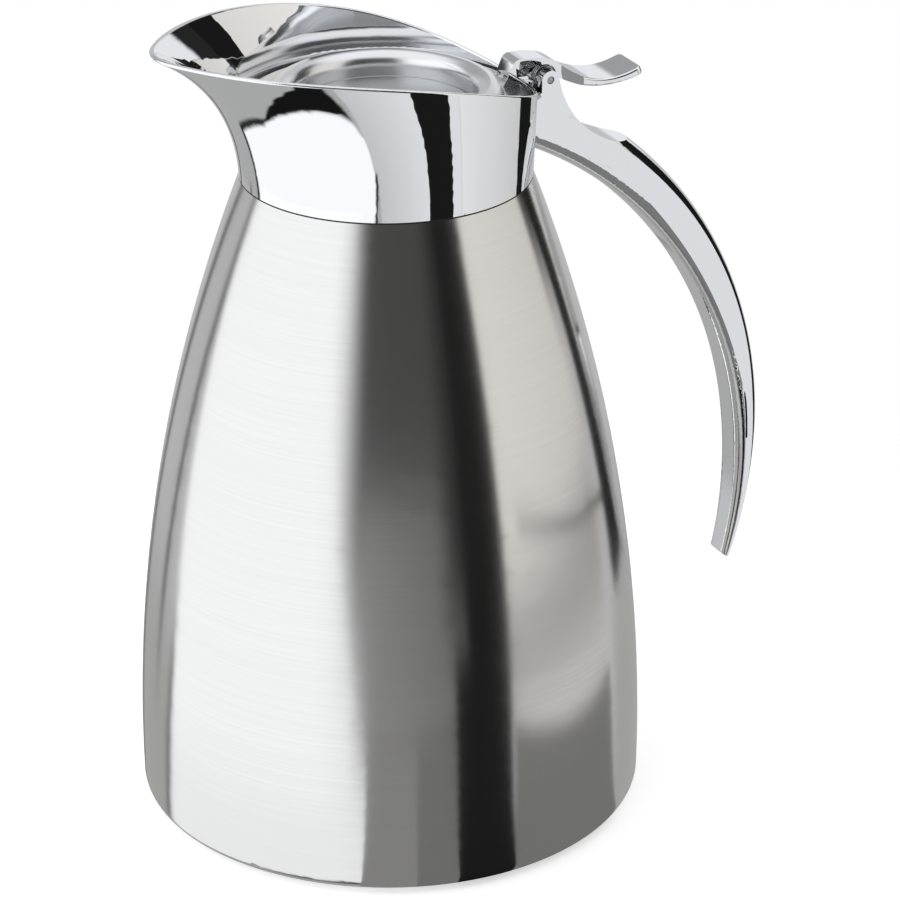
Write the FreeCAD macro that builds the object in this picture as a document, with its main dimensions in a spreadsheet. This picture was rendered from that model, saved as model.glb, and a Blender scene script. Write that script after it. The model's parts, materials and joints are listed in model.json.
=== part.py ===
# Insulated coffee pot: a double-walled steel flask, a collar with a flared spout,
# a sprung lid with a thumb lever, and a cast handle that holds the lid's hinge.
# Millimetres. +Z is up, +X runs from the spout to the handle, and the origin is the
# middle of the foot ring on the table.
import FreeCAD
import Part
import math
import os
import Sketcher
from types import SimpleNamespace
from FreeCAD import Placement, Vector

# Driving dimensions: name, value, meaning
DIMENSIONS = [
    ("base_radius", 65.4, "outer radius of the body at its foot"),
    ("neck_radius", 36.5, "outer radius where body and collar meet"),
    ("body_height", 168.6, "height of the shoulder under the collar"),
    ("side_radius", 440, "radius of the bowed side"),
    ("sheet", 0.8, "thickness of the flask's sheet steel"),
    ("base_round", 3, "rounding at the foot of the outer wall"),
    ("vacuum_gap", 7.8, "space between the two walls"),
    ("foot_height", 0.8, "height of the foot ring under the base"),
    ("foot_width", 3.5, "width of the foot ring"),
    ("foot_inset", 1.2, "from the base's weld in to the foot ring"),
    ("base_ring", 6.5, "width of the base's flat ring"),
    ("base_slope", 3, "width of the slope up to the base's recess"),
    ("base_recess", 3.2, "depth of the base's recess"),
    ("disc_thick", 1, "thickness of the base disc"),
    ("disc_gap", 1.4, "space round the base disc"),
    ("pump_radius", 1.6, "radius of the pump-out hole"),
    ("plug_radius", 4, "radius of the vacuum plug's head"),
    ("plug_height", 1, "height of the vacuum plug's head"),
    ("floor_gap", 8.4, "vacuum space under the inner floor"),
    ("floor_round", 9, "rounding of the inner floor"),
    ("getter_radius", 6, "radius of the getter pellet"),
    ("getter_height", 3, "height of the getter pellet"),
    ("getter_offset", 20, "getter's distance from the axis"),
    ("shoulder", 4.5, "step from the collar joint in to the neck"),
    ("neck_height", 10.2, "height of the neck over the shoulder"),
    ("neck_gap", 1.9, "vacuum space in the neck"),
    ("throat_drop", 2.6, "from the shoulder down to the inner throat"),
    ("gasket_thick", 0.4, "thickness of the gasket under the collar"),
    ("gasket_width", 2.4, "width of that gasket"),
    ("gasket_inset", 0.3, "gasket's set-back from the wall"),
    ("collar_wall", 1.2, "thickness of the collar"),
    ("collar_flare", 1.25, "how far the collar's rear widens up to the rim"),
    ("rear_rim_span", 31, "height over which the rear widens"),
    ("spout_reach", 61.5, "lip's distance from the axis"),
    ("tip_radius", 13.5, "plan radius of the lip"),
    ("side_angle", 78.5, "plan angle where the spout's sides begin, degrees"),
    ("rim_tip", 38, "height of the lip over the collar's foot"),
    ("rim_front_x", -28.4, "rim line: pull of the front half, along X"),
    ("rim_front_z", 36.5, "rim line: pull of the front half, height"),
    ("rim_back_x", 6.9, "rim line: pull of the rear half, along X"),
    ("rim_back_z", 35.4, "rim line: pull of the rear half, height"),
    ("rim_drop", 0.1, "rim at the hinge below the lid's lowest top face"),
    ("rim_round", 0.45, "rounding of the collar's rim"),
    ("insert_foot", 1, "lower edge of the pour insert over the collar's foot"),
    ("insert_clear", 1, "space between the spout's floor and the lid"),
    ("insert_fit", 0.15, "clearance round the pour insert"),
    ("mouth_chamfer", 1.2, "chamfer at the top of the mouth"),
    ("lid_level", 18, "lid's lowest top face over the collar's foot"),
    ("lid_gap", 0.8, "clearance between lid and collar"),
    ("lid_dish", 26, "radius of the lid's dished edge"),
    ("bead_inset", 9.3, "from the lid's edge in to the middle of the raised ring"),
    ("bead_round", 3.6, "radius of the raised ring"),
    ("bead_rise", 1.4, "height of the raised ring's centre"),
    ("bead_foot", 0.6, "rounding at the foot of the raised ring"),
    ("inlay_drop", 1.8, "depth of the recess for the inlay"),
    ("inlay_thick", 0.8, "thickness of the inlay"),
    ("inlay_gap", 0.2, "groove round the inlay"),
    ("core_depth", 10.2, "depth of the plug under the lid cover"),
    ("core_wall", 1.6, "wall of the plug"),
    ("core_flange", 1.6, "thickness of the plug's flange"),
    ("plug_gap", 1.4, "clearance between plug and mouth"),
    ("seal_gap", 0.6, "clearance between seal and mouth"),
    ("seal_height", 2.6, "height of the seal's groove"),
    ("seal_depth", 1.8, "depth of the seal's groove"),
    ("seal_drop", 1.4, "from the flange down to the seal's groove"),
    ("part_gap", 0.2, "clearance between seated pieces"),
    ("pin_out", 5.5, "hinge pin's distance from the neck's wall"),
    ("pin_rise", 1.4, "hinge pin's height over the lid's lowest top face"),
    ("pin_radius", 1, "radius of the hinge pin"),
    ("pin_recess", 0.3, "how far the pin's ends are set back"),
    ("ear_bore_gap", 0.02, "clearance of the pin in the ears"),
    ("lever_bore_gap", 0.05, "clearance of the pin in the lever"),
    ("ear_radius", 2.4, "radius of the ear's tip"),
    ("handle_radius", 112.5, "radius of the handle's back"),
    ("handle_back", 42.2, "from the neck's wall back to the handle arc's centre"),
    ("handle_drop", 87, "from the collar's foot down to that centre"),
    ("root_width", 13.3, "width of the handle at the ears"),
    ("grip_width", 12.6, "width of the handle at the grip"),
    ("tip_width", 8.6, "width of the handle's tip"),
    ("root_depth", 13.2, "depth of the handle at the thumb rest"),
    ("grip_depth", 6.9, "depth of the handle at the grip"),
    ("tip_depth", 2.4, "depth of the handle's tip"),
    ("crown_share", 0.466, "crown of the handle's back to half its width"),
    ("crown_limit", 0.42, "most of the handle's depth that the crown takes"),
    ("bend_share", 0.6, "rounding inside the handle to the depth under the crown"),
    ("bend_width", 0.58, "width of that rounding to half the handle's width"),
    ("tip_angle", -20.2, "angle of the handle's tip, degrees"),
    ("root_height", 4.4, "height of the handle's root block"),
    ("root_sink", 8, "least reach of the root block into the grip"),
    ("root_reach", 10, "reach of the root block beyond the pin"),
    ("ear_slope", 2, "rise of the ears' foot beside the collar's rim"),
    ("scoop_radius", 24.7, "radius of the thumb scoop"),
    ("scoop_out", 26.7, "scoop's centre beyond the pin"),
    ("scoop_rise", 1.71463, "scoop's lowest line over the handle's back"),
    ("slot_width", 7.2, "space between the ears"),
    ("slot_drop", 6, "from the pin down to the floor between the ears"),
    ("plate_thick", 1.4, "thickness of the handle's backing plate"),
    ("plate_width", 11, "width of the backing plate"),
    ("plate_height", 10, "height of the backing plate"),
    ("screw_radius", 1.5, "radius of the handle screws"),
    ("screw_head", 2.2, "radius of their heads"),
    ("screw_head_thick", 1.3, "thickness of their heads"),
    ("screw_length", 9, "how far they reach past the plate"),
    ("screw_low", 5.8, "lower handle screw over the collar's foot"),
    ("screw_pitch", 4.8, "spacing of the handle screws"),
    ("screw_gap", 0.1, "clearance round the screws"),
    ("block_width", 6.6, "width of the hinge block"),
    ("lever_width", 12.1, "width of the lever's thumb pad"),
    ("lever_length", 25.8, "reach of the thumb pad from the pin"),
    ("pad_drop", 0.05, "end of the thumb pad below the pin"),
    ("pad_thick", 2, "thickness of the thumb pad's end"),
    ("pad_lean", 0.8, "how far the pad's end leans out"),
    ("pad_corner", 1.6, "rounding of the pad's corners"),
    ("pad_round", 0.5, "rounding of the pad's edges"),
    ("neck_out", 4, "lever's narrowest place beyond the pin"),
    ("neck_rise", 2.75, "lever's top there, over the pin"),
    ("crest_round", 11, "radius of the lever's crest"),
    ("sweep_round", 20, "radius of the thumb pad's hollow"),
    ("under_out", 3.4, "start of the pad's underside beyond the pin"),
    ("under_drop", 0.7, "start of the pad's underside below the pin"),
    ("under_round", 29, "radius of the pad's underside"),
    ("hub_drop", 1.6, "hub's foot below the pin"),
    ("hub_radius", 2.4, "radius of the lever's hub"),
    ("flare_start", 4.6, "where the lever starts to widen, beyond the pin"),
    ("flare_end", 9.6, "where it has its full width"),
    ("block_top", 5.05, "block's top over the pin"),
    ("block_back", 1.4, "rear end of that top before the pin"),
    ("block_rise", 0.3, "rise of the top to its front"),
    ("block_arch", 22, "radius of the block's top"),
    ("block_face", 8.8, "top of the block's front face before the pin"),
    ("block_round", 2.2, "rounding between front face and top"),
    ("round_run", 2, "length of that rounding"),
    ("round_drop", 1.15, "height of that rounding"),
    ("foot_front", 2.4, "height of the block's foot at its front"),
    ("foot_lean", 1.6, "lean of the foot's front"),
    ("shelf_thick", 0.7, "thickness of the spring's shelf"),
    ("roof_thick", 0.6, "thickness of the block's top over the spring"),
    ("ledge_reach", 4.8, "end of the spring's shelf before the pin"),
    ("window_wall", 0.75, "block's front wall before the spring"),
    ("rim_clear", 0.1, "block's underside over the pin"),
    ("spring_wire", 0.6, "diameter of the spring's wire"),
    ("spring_radius", 2.5, "mean radius of the spring"),
    ("spring_pitch", 1.1, "pitch of the spring"),
    ("spring_room", 0.35, "space between spring and block"),
    ("web_side", 0.2, "side of the block's web, off the middle"),
    ("lid_screw_radius", 0.9, "radius of the lid screws"),
    ("lid_screw_head", 1.6, "radius of their heads"),
    ("lid_screw_spread", 3.6, "spacing of the lid screws"),
    ("lid_screw_inset", 3, "lid screws' distance from the lid's edge"),
    ("lid_screw_length", 4, "length of the lid screws over their heads"),
]

# Counts and angles of the spring, steps of a rounded section, and the overlap that keeps cuts clean
SPRING_TURNS = 2
SPRING_START_ANGLE = 5
SPRING_END_ANGLE = 105
STEPS_PER_TURN = 4
BEND_STEPS = 6
OVERSHOOT = 0.5


class Size:
    """A number together with the sheet formula that drives it."""

    def __init__(self, value, formula):
        self.value = value
        self.formula = formula

    def __float__(self):
        return float(self.value)

    def joined(self, sign, other, value):
        return Size(value, "(%s %s %s)" % (self.formula, sign, formula_of(other)))

    def __add__(self, other):
        return self.joined("+", other, self.value + float(other))

    def __sub__(self, other):
        return self.joined("-", other, self.value - float(other))

    def __mul__(self, other):
        return self.joined("*", other, self.value * float(other))

    def __truediv__(self, other):
        return self.joined("/", other, self.value / float(other))

    def __neg__(self):
        return Size(-self.value, "(0 - %s)" % self.formula)


def formula_of(number):
    """Sheet formula of a size, or the digits of a plain number."""
    return number.formula if isinstance(number, Size) else repr(float(number))


def point(across, along, up):
    """Vector from sizes."""
    return Vector(float(across), float(along), float(up))


# Document and sheet
doc = FreeCAD.newDocument("coffee_pot")
sheet = doc.addObject("Spreadsheet::Sheet", "Sizes")
for row, (alias, number, meaning) in enumerate(DIMENSIONS, start=1):
    sheet.set("A%d" % row, meaning)
    sheet.set("B%d" % row, str(number))
    sheet.setAlias("B%d" % row, alias)
doc.recompute()
dim = SimpleNamespace(**{
    alias: Size(float(getattr(sheet, alias)), "Sizes." + alias) for alias, _, _ in DIMENSIONS
})

# Levels and radii that several pieces share
throat = dim.neck_radius - dim.shoulder
mouth = throat - dim.sheet * 2 - dim.neck_gap
neck_top = dim.body_height + dim.neck_height
collar_foot = dim.body_height + dim.gasket_thick
weld_radius = dim.base_radius - dim.base_round
base_level = dim.foot_height + dim.base_recess
dish_radius = weld_radius - dim.base_ring - dim.base_slope
floor_level = base_level + dim.sheet + dim.floor_gap
seam_level = floor_level + dim.floor_round
inner_radius = dim.base_radius - dim.sheet - dim.vacuum_gap
lid_level = collar_foot + dim.lid_level
insert_top = dim.lid_level - dim.sheet - dim.core_flange - dim.insert_clear
lid_edge = dim.neck_radius - dim.collar_wall + dim.collar_flare / 2 - dim.lid_gap
bead_radius = lid_edge - dim.bead_inset
valley_radius = bead_radius + dim.bead_round + dim.bead_foot
pin_x = dim.neck_radius + dim.pin_out
pin_z = lid_level + dim.pin_rise
root_half = dim.root_width / 2
slot_half = dim.slot_width / 2
block_half = dim.block_width / 2

sub_parts = {}


# Sketches and features

def origin_plane(body, role):
    """One of a body's own origin planes."""
    return [plane for plane in body.Origin.OriginFeatures if plane.Role == role][0]


def new_body(label, lift=None):
    """Empty body, raised to the level that its outlines are measured from."""
    body = doc.addObject("PartDesign::Body", label)
    body.Label = label
    if lift is not None:
        body.setExpression("Placement.Base.z", lift.formula)
    sub_parts[label] = body
    return body


def new_sketch(body, role, name, shift=None):
    """Sketch on an origin plane, moved along the plane's normal by shift."""
    sketch = body.newObject("Sketcher::SketchObject", name)
    sketch.AttachmentSupport = (origin_plane(body, role), [""])
    sketch.MapMode = "FlatFace"
    if shift is not None:
        sketch.setExpression("AttachmentOffset.Base.z", shift.formula)
    return sketch


def arc_between(start, end, radius, turn):
    """Arc of less than a half circle that bends left (turn 1) or right (turn -1)."""
    chord = end - start
    rise = math.sqrt(max(radius ** 2 - (chord.Length / 2) ** 2, 0))
    left = Vector(-chord.y, chord.x, 0).normalize()
    centre = (start + end) * 0.5 + left * (rise * turn)
    first, last = (start, end) if turn > 0 else (end, start)
    angles = [math.atan2(spot.y - centre.y, spot.x - centre.x) for spot in (first, last)]
    return Part.ArcOfCircle(Part.Circle(centre, Vector(0, 0, 1), radius), *angles)


def bind(sketch, constraint, size):
    """Add a dimension and tie it to the sheet."""
    index = sketch.addConstraint(constraint)
    if isinstance(size, Size):
        sketch.setExpression("Constraints[%d]" % index, size.formula)


def hold(sketch, geometry, spot, across, up):
    """Fix a sketch point at two sizes from the sketch's origin."""
    for kind, axis, size in (("DistanceX", -2, across), ("DistanceY", -1, up)):
        if isinstance(size, Size):
            bind(sketch, Sketcher.Constraint(kind, -1, 1, geometry, spot, float(size)), size)
        else:
            sketch.addConstraint(Sketcher.Constraint("PointOnObject", geometry, spot, axis))


def draw(sketch, corners):
    """Closed outline. A corner is (across, up) after a straight run, or
    (across, up, radius, turn) after an arc; a plain 0 lies on the axis."""
    spots = [point(corner[0], corner[1], 0) for corner in corners]
    runs = []
    for index, corner in enumerate(corners):
        if len(corner) == 2:
            run = sketch.addGeometry(Part.LineSegment(spots[index - 1], spots[index]), False)
            runs.append((run, 1, 2))
        else:
            arc = arc_between(spots[index - 1], spots[index], float(corner[2]), corner[3])
            run = sketch.addGeometry(arc, False)
            runs.append((run, 1, 2) if corner[3] > 0 else (run, 2, 1))
    for index, (run, _, last) in enumerate(runs):
        follower, first, _ = runs[(index + 1) % len(runs)]
        sketch.addConstraint(Sketcher.Constraint("Coincident", run, last, follower, first))
    for (run, _, last), corner in zip(runs, corners):
        hold(sketch, run, last, corner[0], corner[1])
        if len(corner) > 2:
            bind(sketch, Sketcher.Constraint("Radius", run, float(corner[2])), corner[2])
    return sketch


def draw_circle(sketch, across, up, radius):
    """Circle at two sizes from the sketch's origin."""
    circle = Part.Circle(point(across, up, 0), Vector(0, 0, 1), float(radius))
    index = sketch.addGeometry(circle, False)
    hold(sketch, index, 3, across, up)
    bind(sketch, Sketcher.Constraint("Radius", index, float(radius)), radius)
    return sketch


def add_feature(body, kind, name, sketch, **settings):
    """Sketch-based feature, which becomes the body's tip."""
    feature = body.newObject("PartDesign::" + kind, name)
    feature.Profile = sketch
    for key, setting in settings.items():
        if isinstance(setting, Size):
            feature.setExpression(key, setting.formula)
        else:
            setattr(feature, key, setting)
    body.Tip = feature
    return feature


def turned(label, corners, lift=None):
    """Piece of revolution about the pot's axis."""
    body = new_body(label, lift)
    sketch = draw(new_sketch(body, "XZ_Plane", label + "_outline"), corners)
    add_feature(body, "Revolution", label + "_turn", sketch, ReferenceAxis=(sketch, ["V_Axis"]), Angle=360)
    return body


def drill_down(body, name, holes):
    """Vertical holes right through a body."""
    sketch = new_sketch(body, "XY_Plane", name + "_sketch")
    for across, along, radius in holes:
        draw_circle(sketch, across, along, radius)
    add_feature(body, "Pocket", name, sketch, Type="ThroughAll", Midplane=True)


def steep(edge):
    """True for an edge that climbs more than it runs."""
    ends = [spot.Point for spot in edge.Vertexes]
    return abs(ends[-1].z - ends[0].z) > 0.7 * (ends[-1] - ends[0]).Length


def round_edges(body, name, radius, chosen):
    """Fillet the edges of a body's tip that chosen() picks."""
    doc.recompute()
    base = body.Tip
    picked = [index for index, edge in enumerate(base.Shape.Edges, start=1) if chosen(edge)]
    fillet = body.newObject("PartDesign::Fillet", name)
    fillet.Base = (base, ["Edge%d" % index for index in picked])
    fillet.setExpression("Radius", radius.formula)
    body.Tip = fillet


def solid_part(label, shape):
    """Piece whose shape is worked out from the sheet's sizes."""
    feature = doc.addObject("Part::Feature", label)
    feature.Label = label
    feature.Shape = shape
    feature.Placement = Placement()
    sub_parts[label] = feature
    return feature


# Flask

def make_outer_shell():
    """Bowed wall, turned in at the foot, with the shoulder and neck under the collar."""
    turned("outer_shell", [
        (weld_radius, dim.foot_height),
        (dim.base_radius, dim.foot_height + dim.base_round, dim.base_round, 1),
        (dim.neck_radius, dim.body_height, dim.side_radius, 1),
        (throat, dim.body_height),
        (throat, neck_top - dim.sheet),
        (throat - dim.sheet, neck_top - dim.sheet),
        (throat - dim.sheet, dim.body_height - dim.sheet),
        (dim.neck_radius - dim.sheet, dim.body_height - dim.sheet),
        (dim.base_radius - dim.sheet, dim.foot_height + dim.base_round, dim.side_radius - dim.sheet, -1),
        (weld_radius, dim.foot_height + dim.sheet, dim.base_round - dim.sheet, -1),
    ])


def make_base():
    """Pressed bottom with its plug, cover disc and foot ring."""
    ring_radius = weld_radius - dim.base_ring
    bend = dim.sheet / 2
    turned("outer_base", [
        (weld_radius, dim.foot_height),
        (weld_radius, dim.foot_height + dim.sheet),
        (ring_radius, dim.foot_height + dim.sheet),
        (dish_radius, base_level + dim.sheet),
        (dim.pump_radius, base_level + dim.sheet),
        (dim.pump_radius, base_level),
        (dish_radius - bend, base_level),
        (ring_radius - bend, dim.foot_height),
    ])
    turned("vacuum_seal", [
        (0, base_level),
        (dim.pump_radius, base_level),
        (dim.pump_radius, base_level + dim.sheet),
        (dim.plug_radius, base_level + dim.sheet),
        (dim.plug_radius - dim.plug_height / 2, base_level + dim.sheet + dim.plug_height),
        (0, base_level + dim.sheet + dim.plug_height),
    ])
    disc_radius = dish_radius - dim.disc_gap
    turned("base_disc", [
        (0, base_level - dim.disc_thick),
        (disc_radius - dim.disc_thick / 2, base_level - dim.disc_thick),
        (disc_radius, base_level - dim.disc_thick / 2),
        (disc_radius, base_level),
        (0, base_level),
    ])
    foot_outer = weld_radius - dim.foot_inset
    foot_inner = foot_outer - dim.foot_width
    edge = dim.foot_height / 4
    turned("foot_ring", [
        (foot_inner, dim.foot_height),
        (foot_inner, edge),
        (foot_inner + edge, 0),
        (foot_outer - edge, 0),
        (foot_outer, edge),
        (foot_outer, dim.foot_height),
    ])


def make_inner_vessel():
    """Inner wall, the neck ring welded on it, the inner floor and the getter under it."""
    neck_outer = mouth + dim.sheet
    throat_level = dim.body_height - dim.throat_drop
    turned("inner_vessel", [
        (inner_radius, seam_level),
        (neck_outer, throat_level, dim.side_radius, 1),
        (mouth, throat_level),
        (inner_radius - dim.sheet, seam_level, dim.side_radius - dim.sheet, -1),
    ])
    turned("inner_neck", [
        (neck_outer, throat_level),
        (neck_outer, neck_top - dim.sheet),
        (throat, neck_top - dim.sheet),
        (throat, neck_top),
        (mouth, neck_top),
        (mouth, throat_level),
    ])
    turned("inner_base", [
        (inner_radius, seam_level),
        (inner_radius - dim.floor_round, floor_level, dim.floor_round, -1),
        (0, floor_level),
        (0, floor_level + dim.sheet),
        (inner_radius - dim.floor_round, floor_level + dim.sheet),
        (inner_radius - dim.sheet, seam_level, dim.floor_round - dim.sheet, 1),
    ])
    getter = doc.addObject("Part::Cylinder", "getter")
    getter.Label = "getter"
    getter.setExpression("Radius", dim.getter_radius.formula)
    getter.setExpression("Height", dim.getter_height.formula)
    getter.setExpression("Placement.Base.x", dim.getter_offset.formula)
    getter.setExpression("Placement.Base.z", (floor_level - dim.getter_height).formula)
    sub_parts["getter"] = getter


# Collar with the flared spout

def spout_family():
    """Ratios that tie the spout's side and tip arcs to how far the wall has flared."""
    rim_radius = float(dim.neck_radius) + float(dim.collar_flare)
    reach = float(dim.spout_reach) - rim_radius
    angle = math.radians(float(dim.side_angle))
    tip_share = (rim_radius - float(dim.tip_radius)) / reach
    side_share = (1 + 2 * tip_share) / (2 * (tip_share + (1 + tip_share) * math.cos(angle)))
    tip_turn = math.atan2(side_share * math.sin(angle), side_share * math.cos(angle) - 1 - tip_share)
    flare_radius = (reach ** 2 + float(dim.rim_tip) ** 2) / (2 * reach)
    return SimpleNamespace(angle=angle, tip_share=tip_share, side_share=side_share,
                           tip_turn=tip_turn, flare_radius=flare_radius)


def spout_outline(level, inset):
    """Level outline of the collar, inset from its outer face: a rear arc, two side arcs and
    the lip's arc, tangent to each other. Level 0 is the collar's foot, a full circle."""
    family = spout_family()
    rear = float(dim.neck_radius) + float(dim.collar_flare) * level / float(dim.rear_rim_span) - inset
    sweep = family.flare_radius + inset
    flare = sweep - math.sqrt(sweep ** 2 - max(level, 0) ** 2)

    def spot(turn):
        """Point of the outline whose normal points at the angle turn."""
        side = math.copysign(1, turn)
        across, along, radius = 0, 0, rear
        if abs(turn) > family.tip_turn:
            across = -(1 + family.tip_share) * flare
            radius = rear - family.tip_share * flare
        elif abs(turn) > family.angle:
            across = -family.side_share * flare * math.cos(family.angle)
            along = -family.side_share * flare * math.sin(family.angle) * side
            radius = rear + family.side_share * flare
        height = float(collar_foot) + level
        return Vector(across + radius * math.cos(turn), along + radius * math.sin(turn), height)

    knots = [-family.angle, family.angle, family.tip_turn, 2 * math.pi - family.tip_turn,
             2 * math.pi - family.angle]
    edges = []
    for first, last in zip(knots, knots[1:]):
        middle = (first + last) / 2
        turns = [turn if turn <= math.pi else turn - 2 * math.pi for turn in (first, middle, last)]
        edges.append(Part.Arc(*[spot(turn) for turn in turns]).toShape())
    return Part.Wire(edges)


def spout_form(inset, low, high):
    """Solid inside the collar's outer face, inset and cut at two levels."""
    shares = (0, 0.17, 0.34, 0.5, 0.65, 0.78, 0.88, 0.95, 1)
    levels = [low + (high - low) * share for share in shares]
    return Part.makeLoft([spout_outline(level, inset) for level in levels], True, False)


def rim_tool():
    """Everything over the rim line, which is one curve in side view."""
    foot = float(collar_foot)
    front = Vector(-float(dim.spout_reach) - OVERSHOOT, 0, foot + float(dim.rim_tip))
    rear_x = float(dim.neck_radius + dim.collar_flare) + OVERSHOOT
    rear = Vector(rear_x, 0, float(lid_level - dim.rim_drop))
    curve = Part.BezierCurve()
    curve.setPoles([
        front,
        point(dim.rim_front_x, 0, collar_foot + dim.rim_front_z),
        point(dim.rim_back_x, 0, collar_foot + dim.rim_back_z),
        rear,
    ])
    beyond = float(dim.spout_reach)
    ceiling = foot + 2 * float(dim.rim_tip)
    far_rear = Vector(rear.x + beyond, 0, rear.z)
    far_front = Vector(front.x - beyond, 0, front.z)
    ends = Part.makePolygon([
        rear,
        far_rear,
        Vector(far_rear.x, 0, ceiling),
        Vector(far_front.x, 0, ceiling),
        far_front,
        front,
    ])
    face = Part.Face(Part.Wire([curve.toShape()] + ends.Edges))
    face.translate(Vector(0, -beyond, 0))
    return face.extrude(Vector(0, 2 * beyond, 0))


def round_rim(collar):
    """Break the edges of the collar's rim, which is the only face that is a swept curve."""
    edges = {}
    for face in collar.Faces:
        if face.Surface.TypeId == "Part::GeomSurfaceOfExtrusion":
            for edge in face.Edges:
                edges[edge.hashCode()] = edge
    return collar.makeFillet(float(dim.rim_round), list(edges.values()))


def screw_levels():
    """Heights of the two handle screws."""
    lowest = float(collar_foot + dim.screw_low)
    return (lowest, lowest + float(dim.screw_pitch))


def plate_levels():
    """Lower and upper edge of the plate that the handle screws pull against."""
    middle = float(collar_foot + dim.screw_low + dim.screw_pitch / 2)
    half = float(dim.plate_height) / 2
    return (middle - half, middle + half)


def rod_along_x(radius, start, length, height):
    """Cylinder along X in the middle plane."""
    return Part.makeCylinder(radius, length, Vector(start, 0, height), Vector(1, 0, 0))


def rod_along_y(radius, half, across, height):
    """Cylinder along Y, as long on both sides of the middle plane."""
    return Part.makeCylinder(float(radius), 2 * float(half), point(across, -half, height), Vector(0, 1, 0))


def block(across, along, up):
    """Box from three pairs of limits."""
    low = point(across[0], along[0], up[0])
    high = point(across[1], along[1], up[1])
    size = high - low
    return Part.makeBox(size.x, size.y, size.z, low)


def screw_holes():
    """Clearance holes for the handle screws, from the neck out into the handle's root."""
    radius = float(dim.screw_radius + dim.screw_gap)
    length = float(dim.screw_length + dim.plate_thick * 2)
    start = float(dim.neck_radius - dim.collar_wall - dim.plate_thick * 2)
    return [rod_along_x(radius, start, length, height) for height in screw_levels()]


def make_collar():
    """Gasket, flared collar and the pour insert round the mouth."""
    outer = dim.neck_radius - dim.gasket_inset
    turned("neck_gasket", [
        (outer - dim.gasket_width, dim.body_height),
        (outer, dim.body_height),
        (outer, collar_foot),
        (outer - dim.gasket_width, collar_foot),
    ])
    wall = float(dim.collar_wall)
    top = float(dim.rim_tip) + OVERSHOOT
    collar = spout_form(0, 0, top).cut(spout_form(wall, -OVERSHOOT, top + OVERSHOOT))
    collar = round_rim(collar.cut(rim_tool()))
    solid_part("spout_collar", collar.cut(Part.makeCompound(screw_holes())))

    fit = float(dim.insert_fit)
    floor = float(collar_foot + insert_top)
    insert = spout_form(wall + fit, float(dim.insert_foot), float(insert_top))
    neck_room = Part.makeCylinder(float(throat + dim.part_gap), float(neck_top))
    bore = float(mouth + dim.insert_fit)
    chamfer = float(dim.mouth_chamfer)
    mouth_cone = Part.makeCone(bore, bore + chamfer, chamfer, Vector(0, 0, floor - chamfer))
    half_plate = dim.plate_width / 2 + dim.part_gap * 2
    fixing_room = block((throat, dim.neck_radius * 2), (-half_plate, half_plate),
                        (0, plate_levels()[1] + float(dim.part_gap * 2)))
    for cutter in (neck_room, Part.makeCylinder(bore, 2 * floor), mouth_cone, fixing_room):
        insert = insert.cut(cutter)
    solid_part("pour_insert", insert)


# Handle

def handle_centre():
    """Centre of the arc that the handle's back follows, in the middle plane."""
    return point(dim.neck_radius - dim.handle_back, 0, collar_foot - dim.handle_drop)


def back_level(across):
    """Height of the handle's back, in the middle plane."""
    centre = handle_centre()
    return centre.z + math.sqrt(float(dim.handle_radius) ** 2 - (float(across) - centre.x) ** 2)


def through_three(angle, spots):
    """Value at an angle of the parabola through three (angle, value) pairs."""
    total = 0
    for here, number in spots:
        weight = 1
        for other, _ in spots:
            if other != here:
                weight *= (angle - other) / (here - other)
        total += weight * number
    return total


def handle_section(angle):
    """Section across the handle: crowned back, flat sides and a rounded inner face."""
    root_angle = 45
    tip = float(dim.tip_angle)
    depth = through_three(angle, [(50, float(dim.root_depth)), (0, float(dim.grip_depth)),
                                  (tip, float(dim.tip_depth))])
    half = through_three(min(angle, root_angle), [(root_angle, float(root_half + dim.part_gap)),
                                                  (0, float(dim.grip_width) / 2),
                                                  (tip, float(dim.tip_width) / 2)])
    crown = min(float(dim.crown_share) * half, float(dim.crown_limit) * depth)
    bend = float(dim.bend_share) * (depth - crown)
    bend_width = float(dim.bend_width) * half
    back = float(dim.handle_radius)
    inner = back - depth
    turn = math.radians(angle)
    outward = Vector(math.cos(turn), 0, math.sin(turn))

    def spot(radius, along):
        return handle_centre() + outward * radius + Vector(0, along, 0)

    def inner_bend(side):
        """Quarter of an ellipse from the flat side round to the inner face."""
        steps = [math.pi / 2 * step / BEND_STEPS for step in range(BEND_STEPS + 1)]
        spots = [spot(inner + bend * (1 - math.sin(step)), side * (half - bend_width * (1 - math.cos(step))))
                 for step in steps]
        curve = Part.BSplineCurve()
        curve.interpolate(Points=spots, InitialTangent=-outward, FinalTangent=Vector(0, -side, 0))
        return curve.toShape()

    edges = [Part.Arc(spot(back - crown, -half), spot(back, 0), spot(back - crown, half)).toShape()]
    for side in (1, -1):
        edges.append(Part.makeLine(spot(back - crown, side * half), spot(inner + bend, side * half)))
        edges.append(inner_bend(side))
    edges.append(Part.makeLine(spot(inner, half - bend_width), spot(inner, bend_width - half)))
    return Part.Wire(Part.__sortEdges__(edges))


def handle_head():
    """Root block and the two ears that carry the hinge pin."""
    ear_left = pin_x - dim.ear_radius
    ear_right = pin_x + dim.root_reach
    wall = dim.neck_radius - dim.collar_wall / 2
    root_top = pin_z - dim.slot_drop
    root_foot = min(float(root_top - dim.root_height), back_level(wall) - float(dim.root_sink))
    profile = Part.makePolygon([
        point(ear_left, 0, pin_z),
        point(ear_left, 0, root_top + dim.ear_slope),
        point(wall, 0, root_top),
        point(wall, 0, root_foot),
        point(ear_right, 0, root_foot),
        point(ear_right, 0, pin_z),
        point(ear_left, 0, pin_z),
    ])
    head = Part.Face(profile)
    head.translate(Vector(0, -float(root_half), 0))
    head = head.extrude(Vector(0, 2 * float(root_half), 0))
    return head.fuse(rod_along_y(dim.ear_radius, root_half, pin_x, pin_z))


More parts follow.
